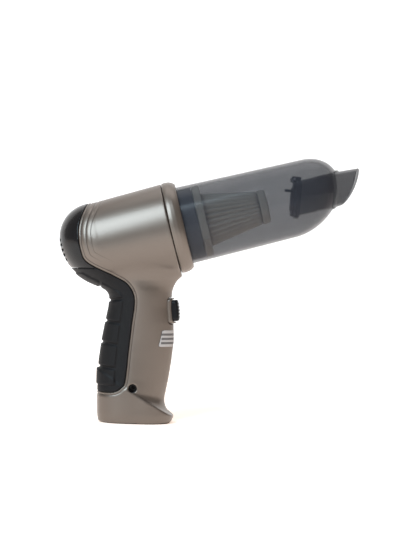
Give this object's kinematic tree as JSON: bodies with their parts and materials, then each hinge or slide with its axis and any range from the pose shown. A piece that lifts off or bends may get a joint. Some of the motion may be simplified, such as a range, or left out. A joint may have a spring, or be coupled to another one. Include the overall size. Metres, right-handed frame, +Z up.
{
  "type": "handheld vacuum cleaner",
  "caption": "Cordless pistol-grip vacuum with twist collar, pull-off clear dust cup, slanted nozzle with flap, pleated cone filter, trigger, motor and fan.",
  "frame": {"origin": "centre of the flat foot that it stands on", "axes": "+Z up, +X forward towards the nozzle, +Y to the left of someone who holds it; the barrel axis lies in the XZ plane and rises 15 degrees forward"},
  "size_m": [0.2366, 0.0736, 0.2141],
  "materials": {
    "silver_paint": "satin",
    "black_gloss": "gloss",
    "black_rubber": "matte",
    "black_plastic": "matte",
    "grey_plastic": "matte",
    "smoke_clear": "clear",
    "white_plastic": "satin",
    "filter_paper": "matte",
    "steel": "satin",
    "copper": "satin",
    "magnet": "matte",
    "cell_wrap": "satin",
    "board_green": "satin",
    "foam": "matte",
    "label_paper": "matte"
  },
  "bodies": {
    "housing": {"right_housing": "silver_paint", "left_housing": "silver_paint", "rear_cap": "black_gloss", "grip_backstrap": "black_rubber", "foot_plate": "black_plastic", "control_board": "board_green", "charge_socket": "black_plastic", "rating_label": "label_paper", "trigger_bezel": "silver_paint", "spigot": "grey_plastic", "spigot_seal": "black_rubber", "fan_housing": "black_plastic", "motor_can": "steel", "motor_end_bell": "black_plastic", "front_bearing": "copper", "rear_bearing": "copper", "upper_magnet": "magnet", "lower_magnet": "magnet", "front_motor_mount": "black_rubber", "rear_motor_mount": "black_rubber", "exhaust_foam": "foam", "rear_battery_cell": "cell_wrap", "front_battery_cell": "cell_wrap", "battery_strip": "steel", "micro_switch": "black_plastic", "housing_screw_1": "steel", "housing_screw_2": "steel", "housing_screw_3": "steel", "housing_screw_4": "steel", "housing_screw_5": "steel"},
    "collar": {"lock_collar": "silver_paint"},
    "cup": {"dust_cup": "smoke_clear", "nozzle_duct": "smoke_clear", "flap_seat": "black_plastic", "flap_pin": "steel"},
    "flap": {"inlet_flap": "black_rubber"},
    "filter": {"filter_cage": "white_plastic", "filter_pleats": "filter_paper"},
    "rotor": {"impeller": "white_plastic", "impeller_nut": "steel", "motor_shaft": "steel", "armature": "steel", "commutator": "copper"},
    "trigger": {"trigger_button": "black_plastic"}
  },
  "joints": [
    {"name": "collar_twist", "type": "hinge", "parent": "housing", "child": "collar", "pos_m": [0, 0, 0.1484], "axis": [0.9659, 0, 0.2588], "range_deg": [0, 15]},
    {"name": "cup_pull", "type": "slide", "parent": "housing", "child": "cup", "axis": [0.9659, 0, 0.2588], "range_m": [0, 0.08]},
    {"name": "flap_swing", "type": "hinge", "parent": "cup", "child": "flap", "pos_m": [0.12154, 0, 0.19698], "axis": [0, 1, 0], "range_deg": [0, 30]},
    {"name": "filter_twist", "type": "hinge", "parent": "housing", "child": "filter", "pos_m": [0, 0, 0.1484], "axis": [0.9659, 0, 0.2588], "range_deg": [0, 20]},
    {"name": "fan_spin", "type": "hinge", "parent": "housing", "child": "rotor", "pos_m": [0, 0, 0.1484], "axis": [0.9659, 0, 0.2588], "continuous": true},
    {"name": "trigger_press", "type": "slide", "parent": "housing", "child": "trigger", "axis": [-0.9947, 0, -0.1028], "range_m": [0, 0.003], "stiffness_N_per_m": 700, "springref_m": -0.002}
  ]
}
